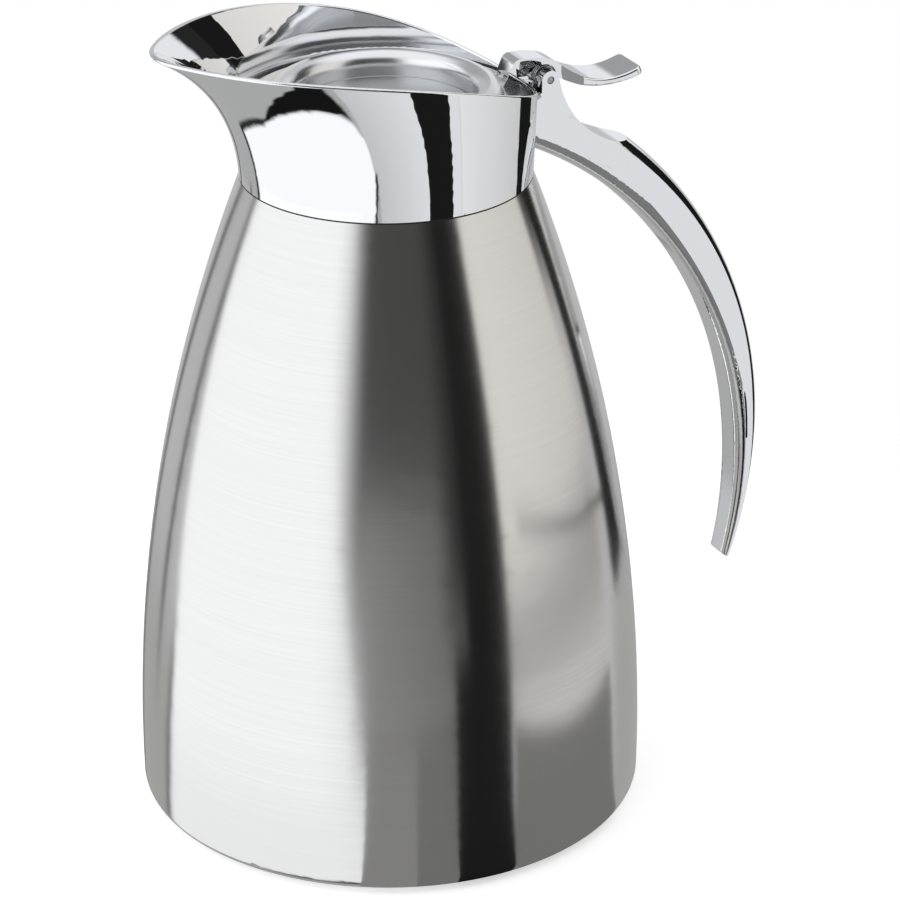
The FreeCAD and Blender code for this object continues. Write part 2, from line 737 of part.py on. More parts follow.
def make_handle():
    """Cast handle: tapered grip, root, ears and thumb scoop, seated on the collar's wall."""
    angles = [70, 60, 48, 34, 18, 3, float(dim.tip_angle) / 2, float(dim.tip_angle)]
    grip = Part.makeLoft([handle_section(angle) for angle in angles], True, False)
    reach = dim.handle_radius * 2
    handle = grip.common(block((0, reach), (-root_half, root_half), (0, reach))).fuse(handle_head())
    scoop_x = pin_x + dim.scoop_out
    scoop_z = back_level(scoop_x) + float(dim.scoop_rise + dim.scoop_radius)
    slot = block((0, scoop_x), (-slot_half, slot_half), (pin_z - dim.slot_drop, pin_z * 2))
    cutters = [
        rod_along_y(dim.scoop_radius, dim.root_width, scoop_x, scoop_z),
        slot,
        rod_along_y(dim.pin_radius + dim.ear_bore_gap, dim.root_width, pin_x, pin_z),
        spout_form(0, -OVERSHOOT, float(dim.rim_tip)),
    ]
    for cutter in cutters + screw_holes():
        handle = handle.cut(cutter)
    solid_part("handle", handle.removeSplitter())


def make_handle_fixings():
    """Curved plate behind the collar's wall and the two screws through it."""
    wall = float(dim.collar_wall)
    half = dim.plate_width / 2
    top = float(dim.rim_tip)
    hollow = spout_form(wall + float(dim.plate_thick), -OVERSHOOT, top + OVERSHOOT)
    ring = spout_form(wall, 0, top).cut(hollow)
    plate = ring.common(block((0, dim.neck_radius * 2), (-half, half), plate_levels()))
    solid_part("handle_plate", plate.cut(Part.makeCompound(screw_holes())))
    seat = float(dim.neck_radius - dim.collar_wall - dim.plate_thick)
    head = float(dim.screw_head_thick)
    bolts = []
    for height in screw_levels():
        shank = rod_along_x(float(dim.screw_radius), seat, float(dim.screw_length), height)
        bolts.append(rod_along_x(float(dim.screw_head), seat - head, head, height).fuse(shank))
    solid_part("handle_screws", Part.makeCompound(bolts))


def make_hinge_pin():
    """Pin through both ears and the lever, with broken edges."""
    body = new_body("hinge_pin", pin_z)
    sketch = draw_circle(new_sketch(body, "XZ_Plane", "pin_section"), pin_x, 0, dim.pin_radius)
    length = dim.root_width - dim.pin_recess * 2
    pad = add_feature(body, "Pad", "pin_rod", sketch, Length=length, Midplane=True)
    doc.recompute()
    chamfer = body.newObject("PartDesign::Chamfer", "pin_ends")
    rims = [index for index, edge in enumerate(pad.Shape.Edges, start=1) if len(edge.Vertexes) == 1]
    chamfer.Base = (pad, ["Edge%d" % index for index in rims])
    chamfer.setExpression("Size", (dim.pin_radius / 5).formula)
    body.Tip = chamfer


# Lid

def make_lid():
    """Cover with its raised ring, inlay, plug, insulation, seal and screws."""
    inner_bead = bead_radius - dim.bead_round
    outer_bead = bead_radius + dim.bead_round
    crest = dim.bead_rise + dim.bead_round
    recess = -dim.inlay_drop
    dish_run = lid_edge - valley_radius
    edge_rise = dish_rise(dim.lid_dish, dish_run)
    under_rise = dish_rise(dim.lid_dish + dim.sheet, dish_run) - dim.sheet
    cover = turned("lid_cover", [
        (0, recess - dim.sheet),
        (inner_bead + dim.sheet, recess - dim.sheet),
        (inner_bead + dim.sheet, dim.bead_rise),
        (bead_radius, crest - dim.sheet, dim.bead_round - dim.sheet, -1),
        (outer_bead - dim.sheet, dim.bead_rise, dim.bead_round - dim.sheet, -1),
        (outer_bead - dim.sheet, -dim.sheet),
        (valley_radius, -dim.sheet),
        (lid_edge, under_rise, dim.lid_dish + dim.sheet, 1),
        (lid_edge, edge_rise),
        (valley_radius, 0, dim.lid_dish, -1),
        (outer_bead, dim.bead_foot, dim.bead_foot, -1),
        (outer_bead, dim.bead_rise),
        (bead_radius, crest, dim.bead_round, 1),
        (inner_bead, dim.bead_rise, dim.bead_round, 1),
        (inner_bead, recess),
        (0, recess),
    ], lid_level)
    inlay_radius = inner_bead - dim.inlay_gap
    turned("lid_inlay", [
        (0, recess),
        (inlay_radius, recess),
        (inlay_radius, recess + dim.inlay_thick * 0.7),
        (inlay_radius - dim.inlay_thick * 0.3, recess + dim.inlay_thick),
        (0, recess + dim.inlay_thick),
    ], lid_level)

    top = -dim.sheet
    cavity = inner_bead + dim.sheet + dim.part_gap * 2
    plug = mouth + dim.insert_fit - dim.plug_gap
    floor = top - dim.core_depth
    flange = top - dim.core_flange
    groove_top = flange - dim.seal_drop
    groove_foot = groove_top - dim.seal_height
    groove = plug - dim.seal_depth
    flange_radius = lid_edge - dim.lid_gap * 2.5
    bevel = dim.core_flange / 3
    core = turned("lid_core", [
        (cavity, top),
        (cavity, floor + dim.core_wall),
        (0, floor + dim.core_wall),
        (0, floor),
        (groove, floor),
        (plug, floor + dim.seal_depth),
        (plug, groove_foot),
        (groove, groove_foot),
        (groove, groove_top),
        (plug, groove_top),
        (plug, flange),
        (flange_radius - bevel, flange),
        (flange_radius, flange + bevel),
        (flange_radius, top),
    ], lid_level)
    foam_radius = cavity - dim.part_gap
    turned("lid_foam", [
        (0, floor + dim.core_wall),
        (foam_radius, floor + dim.core_wall),
        (foam_radius, recess - dim.sheet),
        (0, recess - dim.sheet),
    ], lid_level)
    lip = mouth + dim.insert_fit - dim.seal_gap
    seal_foot = groove_foot + dim.part_gap
    seal_top = groove_top - dim.part_gap
    turned("lid_seal", [
        (groove, seal_foot),
        (plug, seal_foot),
        (lip, seal_foot + dim.seal_height * 0.35),
        (lip, seal_foot + dim.seal_height * 0.55),
        (plug, seal_top),
        (groove, seal_top),
    ], lid_level)

    screw_x = lid_edge - dim.lid_screw_inset
    screw_y = dim.lid_screw_spread / 2
    clear = dim.lid_screw_radius + dim.screw_gap
    spots = [(screw_x, screw_y), (screw_x, -screw_y)]
    drill_down(cover, "cover_holes", [(across, along, clear) for across, along in spots])
    drill_down(core, "core_holes", [(across, along, clear) for across, along in spots])
    counterbore = new_sketch(core, "XY_Plane", "core_counterbores", flange + dim.core_flange / 2)
    for across, along in spots:
        draw_circle(counterbore, across, along, dim.lid_screw_head + dim.screw_gap)
    add_feature(core, "Pocket", "core_counterbore", counterbore, Type="Length", Length=dim.core_flange)

    head = float(dim.core_flange) / 2
    bolts = []
    for across, along in spots:
        seat = point(across, along, lid_level + flange)
        bolt = Part.makeCylinder(float(dim.lid_screw_head), head, seat)
        length = head + float(dim.lid_screw_length)
        bolts.append(bolt.fuse(Part.makeCylinder(float(dim.lid_screw_radius), length, seat)))
    solid_part("lid_screws", Part.makeCompound(bolts))


def dish_rise(radius, run):
    """Height that an arc climbs over a run from its lowest point, with its sheet formula."""
    rise = float(radius) - math.sqrt(float(radius) ** 2 - float(run) ** 2)
    formula = "(%s - sqrt(%s ^ 2 - %s ^ 2))" % (radius.formula, radius.formula, run.formula)
    return Size(rise, formula)


def make_thumb_lever():
    """Hinge block and S-shaped lever: side outline, plan, seat on the lid, bore and pocket."""
    lever = new_body("thumb_lever", pin_z)
    foot_x = valley_radius + dim.part_gap / 2
    foot_z = lid_level - pin_z - dim.part_gap
    seat_x = lid_edge - dim.part_gap
    face_x = pin_x - dim.block_face
    end_x = pin_x + dim.lever_length
    front_top = dim.block_top + dim.block_rise
    side = draw(new_sketch(lever, "XZ_Plane", "lever_side"), [
        (foot_x, foot_z),
        (foot_x + dim.foot_lean, foot_z + dim.foot_front),
        (face_x, front_top - dim.round_drop),
        (face_x + dim.round_run, front_top, dim.block_round, -1),
        (pin_x - dim.block_back, dim.block_top, dim.block_arch, -1),
        (pin_x + dim.neck_out, dim.neck_rise, dim.crest_round, -1),
        (end_x, -dim.pad_drop, dim.sweep_round, 1),
        (end_x + dim.pad_lean, -dim.pad_drop - dim.pad_thick),
        (pin_x + dim.under_out, -dim.under_drop, dim.under_round, -1),
        (pin_x, -dim.hub_drop),
        (pin_x - dim.hub_radius, dim.rim_clear),
        (seat_x, dim.rim_clear),
        (seat_x, foot_z),
    ])
    add_feature(lever, "Pad", "lever_blank", side, Length=dim.lever_width, Midplane=True)
    hub = draw_circle(new_sketch(lever, "XZ_Plane", "hub_section"), pin_x, 0, dim.hub_radius)
    add_feature(lever, "Pad", "lever_hub", hub, Length=dim.block_width, Midplane=True)

    flare_from = pin_x + dim.flare_start
    flare_to = pin_x + dim.flare_end
    before = foot_x - dim.foot_front
    outside = dim.lever_width
    pad_half = dim.lever_width / 2
    plan = new_sketch(lever, "XY_Plane", "lever_plan")
    for sign in (1, -1):
        corners = [
            (before, block_half),
            (flare_from, block_half),
            (flare_to, pad_half),
            (flare_to, outside),
            (before, outside),
        ]
        draw(plan, [(across, along if sign > 0 else -along) for across, along in corners])
    add_feature(lever, "Pocket", "lever_waist", plan, Type="ThroughAll", Midplane=True)

    dish_run = lid_edge - valley_radius
    rise = dish_rise(dim.lid_dish, dish_run)
    level = lid_level - pin_z
    below = level - dim.foot_front
    seat = draw(new_sketch(lever, "XZ_Plane", "lid_seat"), [
        (valley_radius - dim.foot_front, below),
        (lid_edge, below),
        (lid_edge, level + rise),
        (valley_radius, level, dim.lid_dish, -1),
        (valley_radius - dim.foot_front, level),
    ])
    add_feature(lever, "Groove", "lid_seat_cut", seat, ReferenceAxis=(seat, ["V_Axis"]), Angle=360)

    bore = draw_circle(new_sketch(lever, "XZ_Plane", "bore"), pin_x, 0, dim.pin_radius + dim.lever_bore_gap)
    add_feature(lever, "Pocket", "lever_bore", bore, Type="ThroughAll", Midplane=True)

    shelf = dim.rim_clear + dim.shelf_thick
    roof = front_top - dim.roof_thick
    rear_x = pin_x - dim.pin_radius
    shelf_end = pin_x - dim.ledge_reach
    screw_side = lid_edge - dim.lid_screw_inset + dim.lid_screw_radius + dim.part_gap * 6
    room = new_sketch(lever, "XZ_Plane", "spring_window", dim.web_side)
    draw(room, [
        (screw_side, shelf),
        (shelf_end, shelf),
        (shelf_end, -dim.hub_drop),
        (rear_x, -dim.hub_drop),
        (rear_x, roof - dim.roof_thick * 1.5),
        (face_x + dim.round_run, roof, dim.block_arch / 2, 1),
        (face_x + dim.window_wall, roof - dim.round_drop, dim.block_round, 1),
    ])
    sideways = {"Type": "Length", "Length": dim.block_width, "Reversed": True}
    add_feature(lever, "Pocket", "spring_window_cut", room, **sideways)
    coil_room = dim.spring_radius + dim.spring_wire / 2 + dim.spring_room
    ring = draw_circle(new_sketch(lever, "XZ_Plane", "spring_ring", dim.web_side), pin_x, 0, coil_room)
    add_feature(lever, "Pocket", "spring_ring_cut", ring, **sideways)

    tapping = new_sketch(lever, "XY_Plane", "screw_tapping", level - dim.foot_front)
    screw_y = dim.lid_screw_spread / 2
    for along in (screw_y, -screw_y):
        draw_circle(tapping, lid_edge - dim.lid_screw_inset, along, dim.lid_screw_radius + dim.lever_bore_gap)
    depth = dim.lid_screw_length + dim.foot_front - dim.core_flange / 2 - dim.sheet + dim.part_gap
    add_feature(lever, "Pocket", "screw_tapping_cut", tapping, Type="Length", Length=depth, Reversed=True)

    def at_tip(edge):
        return all(spot.X > float(end_x) - OVERSHOOT / 5 for spot in edge.Vertexes) and steep(edge)

    def on_pad(edge):
        return all(spot.X > float(flare_to) - OVERSHOOT / 5 for spot in edge.Vertexes) and not steep(edge)

    round_edges(lever, "pad_corners", dim.pad_corner, at_tip)
    round_edges(lever, "pad_edges", dim.pad_round, on_pad)


# Spring

def biarc(start, start_way, end, end_way):
    """Two arcs that leave start along start_way and reach end along end_way."""
    gap = end - start
    ways = start_way + end_way
    spread = 2 * (1 - start_way.dot(end_way))
    root = math.sqrt(gap.dot(ways) ** 2 + spread * gap.dot(gap))
    arm = (root - gap.dot(ways)) / spread
    knee = start + start_way * arm
    other_knee = end - end_way * arm
    middle = (knee + other_knee) * 0.5
    arcs = []
    for first, bend, last in ((start, knee, middle), (middle, other_knee, end)):
        chord = (first + last) * 0.5
        half = (last - first).Length / 2
        lean = bend - chord
        turn = math.atan2(lean.Length, half)
        arcs.append(Part.Arc(first, chord + lean.normalize() * (half * math.tan(turn / 2)), last).toShape())
    return arcs


def spring_edges():
    """Centre line of the wire: a leg on the slot's floor, the turns, a leg on the shelf."""
    wire = float(dim.spring_wire)
    radius = float(dim.spring_radius)
    pitch = float(dim.spring_pitch)
    turn_angle = SPRING_TURNS * 360 + SPRING_END_ANGLE - SPRING_START_ANGLE
    steps = round(turn_angle / 360 * STEPS_PER_TURN)
    length = pitch * turn_angle / 360
    start_y = -float(dim.web_side + dim.spring_wire / 4) - wire / 2 - length
    knots = []
    for step in range(steps + 1):
        share = step / steps
        angle = math.radians(SPRING_START_ANGLE + turn_angle * share)
        spot = Vector(radius * math.cos(angle), start_y + length * share, radius * math.sin(angle))
        climb = 0 if step in (0, steps) else pitch / (2 * math.pi)
        way = Vector(-radius * math.sin(angle), climb, radius * math.cos(angle)).normalize()
        knots.append((spot + point(pin_x, 0, pin_z), way))
    touch = wire / 2 + wire / 12
    first, first_way = knots[0]
    drop = first.z - float(pin_z - dim.slot_drop) - touch
    last, last_way = knots[-1]
    shelf = float(pin_z + dim.rim_clear + dim.shelf_thick)
    fall = (last.z - shelf - touch) / -last_way.z
    edges = [Part.makeLine(first - first_way * (drop / first_way.z), first)]
    for (spot, way), (after, after_way) in zip(knots, knots[1:]):
        edges += biarc(spot, way, after, after_way)
    edges.append(Part.makeLine(last, last + last_way * fall))
    return edges


def least_gap(edges, wire):
    """Least gap of the wire to itself, measured on points of its centre line."""
    spots = []
    for edge in edges:
        spots += edge.discretize(9)[:-1]
    lengths = [0]
    for before, after in zip(spots, spots[1:]):
        lengths.append(lengths[-1] + (after - before).Length)
    half_turn = math.pi * float(dim.spring_radius)
    gaps = []
    for here, spot in enumerate(spots):
        for there in range(here):
            if lengths[here] - lengths[there] > half_turn:
                gaps.append((spot - spots[there]).Length - wire)
    return min(gaps)


def make_spring():
    """Torsion spring round the hinge pin, one tube along the wire's centre line."""
    edges = spring_edges()
    wire = float(dim.spring_wire)
    path = Part.Wire(edges)
    first = edges[0].Vertexes[0].Point
    way = edges[0].Vertexes[1].Point - first
    circle = Part.Circle(first, way, wire / 2)
    tube = Part.BRepOffsetAPI.MakePipeShell(path)
    tube.add(Part.Wire([circle.toShape()]))
    tube.build()
    tube.makeSolid()
    print("spring: least gap to itself %.2f mm" % least_gap(edges, wire))
    solid_part("lid_spring", tube.shape())


def check_and_write():
    """Stop on any failed object or shape, then write one file per sub-part."""
    doc.recompute()
    for item in doc.Objects:
        if "Invalid" in item.State or "Error" in item.State:
            raise RuntimeError("%s failed: %s" % (item.Label, item.State))
    for label, item in sub_parts.items():
        if item.Shape.isNull() or not item.Shape.isValid() or not item.Shape.Solids:
            raise RuntimeError("%s has no valid solid" % label)
    os.makedirs("parts", exist_ok=True)
    for label, item in sub_parts.items():
        item.Shape.exportStep(os.path.join("parts", label + ".step"))
        print("%s: %d solids, %.1f mm3" % (label, len(item.Shape.Solids), item.Shape.Volume))


make_outer_shell()
make_base()
make_inner_vessel()
make_collar()
make_handle()
make_handle_fixings()
make_hinge_pin()
make_lid()
make_thumb_lever()
make_spring()
check_and_write()
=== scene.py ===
"""Finishes, studio and camera for an insulated steel coffee pot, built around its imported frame."""

import json
import math
from types import SimpleNamespace

import bmesh
import bpy
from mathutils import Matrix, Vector


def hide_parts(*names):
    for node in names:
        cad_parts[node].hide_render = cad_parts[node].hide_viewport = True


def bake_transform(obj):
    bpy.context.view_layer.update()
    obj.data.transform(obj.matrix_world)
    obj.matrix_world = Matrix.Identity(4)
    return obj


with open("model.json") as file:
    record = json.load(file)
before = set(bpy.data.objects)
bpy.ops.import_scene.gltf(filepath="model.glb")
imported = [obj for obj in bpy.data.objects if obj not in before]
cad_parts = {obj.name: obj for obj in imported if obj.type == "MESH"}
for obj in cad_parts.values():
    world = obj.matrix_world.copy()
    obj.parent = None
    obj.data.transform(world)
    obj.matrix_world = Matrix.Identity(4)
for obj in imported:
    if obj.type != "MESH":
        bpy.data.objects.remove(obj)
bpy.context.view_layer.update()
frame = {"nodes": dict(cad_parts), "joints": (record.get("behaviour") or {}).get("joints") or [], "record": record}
nodes = frame["nodes"]

MM = 0.001
HALF_TURN = 180.0
WHITE = (1.0, 1.0, 1.0)

# Camera, as the photo was taken: distance from the axis, height, turn round the pot, tilt and own turn
CAMERA_REACH = 0.8379
CAMERA_HEIGHT = 0.4779
CAMERA_TURN = 24.0
CAMERA_TILT = 24.69
CAMERA_YAW = 1.082
CAMERA_LENS = 143.8
SENSOR_WIDTH = 36.0

# Floor disc: it fades into the white surround between these radii
FLOOR_FADE_START = 0.16
FLOOR_FADE_END = 0.27
FLOOR_SIDES = 96
FLOOR_COLOUR = (0.9, 0.9, 0.9)
FLOOR_GLOW = 0.55

# Lid spring in millimetres and degrees, about the hinge pin's axis at (x, z)
hinge_place = frame["joints"][0]["pos_m"]
PIN = (hinge_place[0] / MM, hinge_place[2] / MM)
SPRING_RADIUS = 2.5
SPRING_WIRE = 0.6
SPRING_SIDES = 14
SPRING_NEAR = -3.156
SPRING_FAR = -0.65
SPRING_START = 5.0
SPRING_TURN = 1180.0
SPRING_STEP = 10.0
SPRING_TOUCH = 0.35
SLOT_FLOOR = 182.4
SHELF_TOP = 189.2

# Points along the spring's legs, as shares of a leg's length from the coil
LOWER_LEG = (1.0, 0.7, 0.4, 0.15)
UPPER_LEG = (0.2, 0.5, 0.8, 1.0)

# Range of the noise that brushing and clouding are spread over
GRAIN_LOW = 0.3
GRAIN_HIGH = 0.7
CLOUD_LOW = 0.25
CLOUD_HIGH = 0.75

# Turn of the brushed highlight, clouding of the roughness, and the dark share of a moulded colour
BRUSH_TURN = 0.25
CLOUD_ROUGHNESS = 0.06
MOULDED_DARK = 0.86

# Sockets of the colour mixing node
MIX_SHARE = 0
MIX_FIRST = 6
MIX_SECOND = 7
MIX_RESULT = 2

# Tints of the studio's panels
NEUTRAL = (1.0, 1.0, 1.0)
COOL = (0.985, 0.995, 1.02)
WARM = (1.02, 1.0, 0.955)


def panel(name, start, end, low, high, level, level_end=None, soft=(3.0, 3.0), soft_up=3.0, lean=0.0,
          tint=NEUTRAL):
    """A light or dark panel by direction, in degrees. Azimuth 0 is the handle's side, 180 the spout's
    and -90 the near side. Its level may change from start to end, and lean tilts its upright edges."""
    last = level if level_end is None else level_end
    return SimpleNamespace(
        name=name,
        middle=(start + end) / 2,
        half=(end - start) / 2,
        low=low,
        high=high,
        soft=soft,
        soft_up=soft_up,
        lean=lean,
        first=tuple(level * part for part in tint),
        last=tuple(last * part for part in tint),
    )


def toward(azimuth, elevation):
    """Unit vector of a direction in degrees."""
    turn, rise = math.radians(azimuth), math.radians(elevation)
    return Vector((math.cos(rise) * math.cos(turn), math.cos(rise) * math.sin(turn), math.sin(rise)))


def card(name, level, inside, corners, soft=1.0, spread=0.0, tint=NEUTRAL):
    """A straight-edged card by direction: its edges join the corners in turn, each an azimuth and an
    elevation in degrees. inside is a direction on it, and spread moves its edges outward."""
    middle = toward(*inside)
    edges = []
    for first, second in zip(corners, corners[1:]):
        across = toward(*first).cross(toward(*second)).normalized()
        edges.append(across if across.dot(middle) > 0 else -across)
    return SimpleNamespace(
        name=name,
        edges=edges,
        soft=math.radians(soft),
        spread=math.radians(spread),
        colour=tuple(level * part for part in tint),
    )


# Left end of the white card under the spout, which a dark line edges
LEFT_CARD = [(128, -24), (108, -40), (143, -53.8), (143, -20)]

# The studio round the pot, later items over earlier ones
SURROUND = (0.55, 0.55, 0.56)
PANELS = [
    panel("overhead", -180, 180, 46, 90, 0.97, soft_up=9, tint=COOL),
    panel("back_grey", 60, 128, 20, 46, 0.36, soft=(6, 9), soft_up=6, tint=COOL),
    panel("back_white", 30, 66, 2, 22, 0.85, tint=COOL),
    panel("low_surround", -180, 180, -90, -22, 0.42, soft_up=3),
    card("white_card_line", 0.03, (128, -40), LEFT_CARD, spread=2.5),
    card("black_wedge", 0.008, (190, -64), [
        (142, -53), (200, -71), (230, -69), (236, -60), (240, -44), (142, -53),
    ]),
    card("left_card", 1.06, (128, -40), LEFT_CARD, tint=COOL),
    card("white_card", 1.06, (180, -40), [
        (141, -20), (141, -53), (240, -44), (243, -37), (242, -33), (237, -27),
    ], tint=COOL),
    panel("low_front", 242.5, 284, -75, -23, 0.58, 0.8, soft=(1, 1), soft_up=1.5, tint=COOL),
    panel("low_front_right", 284, 307, -75, -15, 0.78, soft=(1, 1), soft_up=1.5, tint=COOL),
    panel("low_right", 307, 372, -75, -18.5, 0.81, 0.6, soft=(1, 5), soft_up=1.5),
    card("white_card_tick", 0.04, (240, -29.5), [
        (237, -26), (242, -33), (243.5, -32.5), (238.5, -25.5), (237, -26),
    ], soft=0.4),
    panel("left_softbox", 129, 222, -27, 48, 1.18, soft=(2, 13), soft_up=2, tint=COOL),
    panel("left_line", 126.5, 130.5, -24, 40, 0.1, soft=(1.2, 1.2), lean=0.67),
    panel("far_left_line", 109, 114, -32, 8, 0.14, soft=(2, 2), lean=1.1),
    panel("front_shade", 227, 301, -10, 55, 0.07, soft=(8, 1.5), soft_up=9),
    panel("front_low", 232, 290, -24, -1, 0.3, 0.13, soft=(6, 1), soft_up=1.5),
    panel("front_gap", 273, 301, -12, 50, 0.03, 0.02, soft=(6, 1.5), soft_up=3),
    panel("right_softbox", 301, 366, -13, 50, 0.84, 0.7, soft=(1.5, 4), soft_up=5, tint=WARM),
    panel("right_low", 301, 366, -20, -13, 0.36, soft=(1.5, 5), soft_up=1.5, tint=WARM),
    panel("back_flag", 362, 389, -4, 45, 0.02, soft=(2, 2)),
]

# Dark flags near the pot, and grey sheets on the floor with the floor's shade painted in, all shown only by its
# mirrors: name, level and corners in millimetres
FLAGS = [
    ("front_flag", 0.01, [(42, -300, 0), (154, -300, 0), (154, -300, 300), (42, -300, 300)]),
    ("front_flag_foot", 0.012, [(-10, -62, 0.4), (4, -62, 0.4), (154, -300, 0.4), (11, -300, 0.4)]),
    # The next three grey sheets glow at a set level: painted shade of the floor in front of and to the right of
    # the pot, seen only in reflections
    ("front_floor_shade", 0.27, [(-33, -55, 0.2), (-20, -60, 0.2), (-42, -160, 0.2), (-90, -140, 0.2)]),
    ("front_floor_shade_near", 0.19, [(-20, -60, 0.2), (-8, -62, 0.2), (11, -170, 0.2), (-42, -160, 0.2)]),
    ("right_floor_shade", 0.2, [(3, -62, 0.2), (37, -50, 0.2), (145, -38, 0.2), (65, -153, 0.2)]),
    ("handle_flag", 0.01, [(200, 0, 0), (200, 78, 0), (200, 78, 300), (200, 0, 300)]),
    ("handle_line_flag", 0.01, [(100, -22, 70), (111, -22, 70), (142, -200, 70), (118, -200, 70)]),
]


def add_object(name, data):
    """A new object in the scene."""
    made = bpy.data.objects.new(name, data)
    bpy.context.scene.collection.objects.link(made)
    return made


# Node trees


def rgba(colour):
    """A plain colour with full alpha, or an output as it is."""
    return colour if isinstance(colour, bpy.types.NodeSocket) else (*colour, 1.0)


def node(tree, kind, inputs=None, **settings):
    """Adds a node. inputs maps a socket to a value or to another node's output."""
    made = tree.nodes.new(kind)
    for name, value in settings.items():
        setattr(made, name, value)
    for socket, value in (inputs or {}).items():
        if isinstance(value, bpy.types.NodeSocket):
            tree.links.new(value, made.inputs[socket])
        else:
            made.inputs[socket].default_value = value
    return made


def empty_material(name):
    """A material with no nodes yet; returns it and its tree."""
    material = bpy.data.materials.new(name)
    material.use_nodes = True
    material.node_tree.nodes.clear()
    return material, material.node_tree


def calculate(tree, operation, *values):
    """One step of arithmetic on numbers or outputs."""
    return node(tree, "ShaderNodeMath", dict(enumerate(values)), operation=operation).outputs[0]


def remap(tree, value, low, high, to_low=0.0, to_high=1.0, smooth=False):
    """Moves a value from one range to another."""
    made = node(tree, "ShaderNodeMapRange", {
        "Value": value,
        "From Min": low,
        "From Max": high,
        "To Min": to_low,
        "To Max": to_high,
    })
    if smooth:
        made.interpolation_type = "SMOOTHSTEP"
    return made.outputs["Result"]


def mix_colour(tree, share, first, second, label=""):
    """A colour between two, by share."""
    inputs = {MIX_SHARE: share, MIX_FIRST: rgba(first), MIX_SECOND: rgba(second)}
    return node(tree, "ShaderNodeMix", inputs, data_type="RGBA", label=label).outputs[MIX_RESULT]


# Studio


def step_up(tree, value, edge, soft):
    """0 below an edge and 1 above it."""
    return remap(tree, value, edge - soft, edge + soft, smooth=True)


def step_down(tree, value, edge, soft):
    """1 below an edge and 0 above it."""
    return remap(tree, value, edge - soft, edge + soft, 1.0, 0.0, smooth=True)


def add_panel(tree, light, azimuth, elevation, item):
    """Lays one panel over the light so far."""
    share = calculate(
        tree,
        "MULTIPLY",
        step_up(tree, elevation, item.low, item.soft_up),
        step_down(tree, elevation, item.high, item.soft_up),
    )
    colour = item.first
    if item.half < HALF_TURN:
        turn = calculate(tree, "SUBTRACT", azimuth, item.middle)
        if item.lean:
            turn = calculate(tree, "SUBTRACT", turn, calculate(tree, "MULTIPLY", elevation, item.lean))
        turn = calculate(tree, "WRAP", turn, HALF_TURN, -HALF_TURN)
        share = calculate(tree, "MULTIPLY", share, step_up(tree, turn, -item.half, item.soft[0]))
        share = calculate(tree, "MULTIPLY", share, step_down(tree, turn, item.half, item.soft[1]))
        if item.first != item.last:
            colour = mix_colour(tree, remap(tree, turn, -item.half, item.half), item.first, item.last)
    return mix_colour(tree, share, light, colour, item.name)


def add_card(tree, light, direction, item):
    """Lays one straight-edged card over the light so far."""
    share = 1.0
    for edge in item.edges:
        inward = node(tree, "ShaderNodeVectorMath", {0: direction, 1: tuple(edge)}, operation="DOT_PRODUCT")
        side = step_up(tree, inward.outputs["Value"], -item.spread, item.soft)
        share = calculate(tree, "MULTIPLY", share, side)
    return mix_colour(tree, share, light, item.colour, item.name)


def build_studio():
    """The surround that the metal mirrors: panels and cards by direction, plain white behind the pot."""
    world = bpy.data.worlds.new("studio")
    bpy.context.scene.world = world
    world.use_nodes = True
    tree = world.node_tree
    tree.nodes.clear()
    direction = node(tree, "ShaderNodeTexCoord").outputs["Generated"]
    axes = node(tree, "ShaderNodeSeparateXYZ", {0: direction}).outputs
    azimuth = calculate(tree, "DEGREES", calculate(tree, "ARCTAN2", axes["Y"], axes["X"]))
    elevation = calculate(tree, "DEGREES", calculate(tree, "ARCSINE", axes["Z"]))
    light = SURROUND
    for item in PANELS:
        if hasattr(item, "edges"):
            light = add_card(tree, light, direction, item)
        else:
            light = add_panel(tree, light, azimuth, elevation, item)
    studio = node(tree, "ShaderNodeBackground", {"Color": light, "Strength": 1.0})
    white = node(tree, "ShaderNodeBackground", {"Color": rgba(WHITE), "Strength": 1.0})
    seen = node(tree, "ShaderNodeLightPath").outputs["Is Camera Ray"]
    both = node(tree, "ShaderNodeMixShader", {0: seen, 1: studio.outputs[0], 2: white.outputs[0]})
    node(tree, "ShaderNodeOutputWorld", {"Surface": both.outputs[0]})


def build_flags():
    """Dark flags round the pot, and grey sheets on the floor with the floor's shade painted in, which only its
    mirrors show.
    """
    for name, level, corners in FLAGS:
        mesh = bpy.data.meshes.new(name)
        spots = [tuple(part * MM for part in corner) for corner in corners]
        mesh.from_pydata(spots, [], [list(range(len(spots)))])
        flag = add_object(name, mesh)
        material, tree = empty_material(name)
        material.cycles.emission_sampling = "NONE"
        glow = node(tree, "ShaderNodeEmission", {"Color": (level, level, level, 1.0), "Strength": 1.0})
        node(tree, "ShaderNodeOutputMaterial", {"Surface": glow.outputs[0]})
        mesh.materials.append(material)
        flag.visible_camera = False
        flag.visible_diffuse = False
        flag.visible_shadow = False
        flag.visible_transmission = False


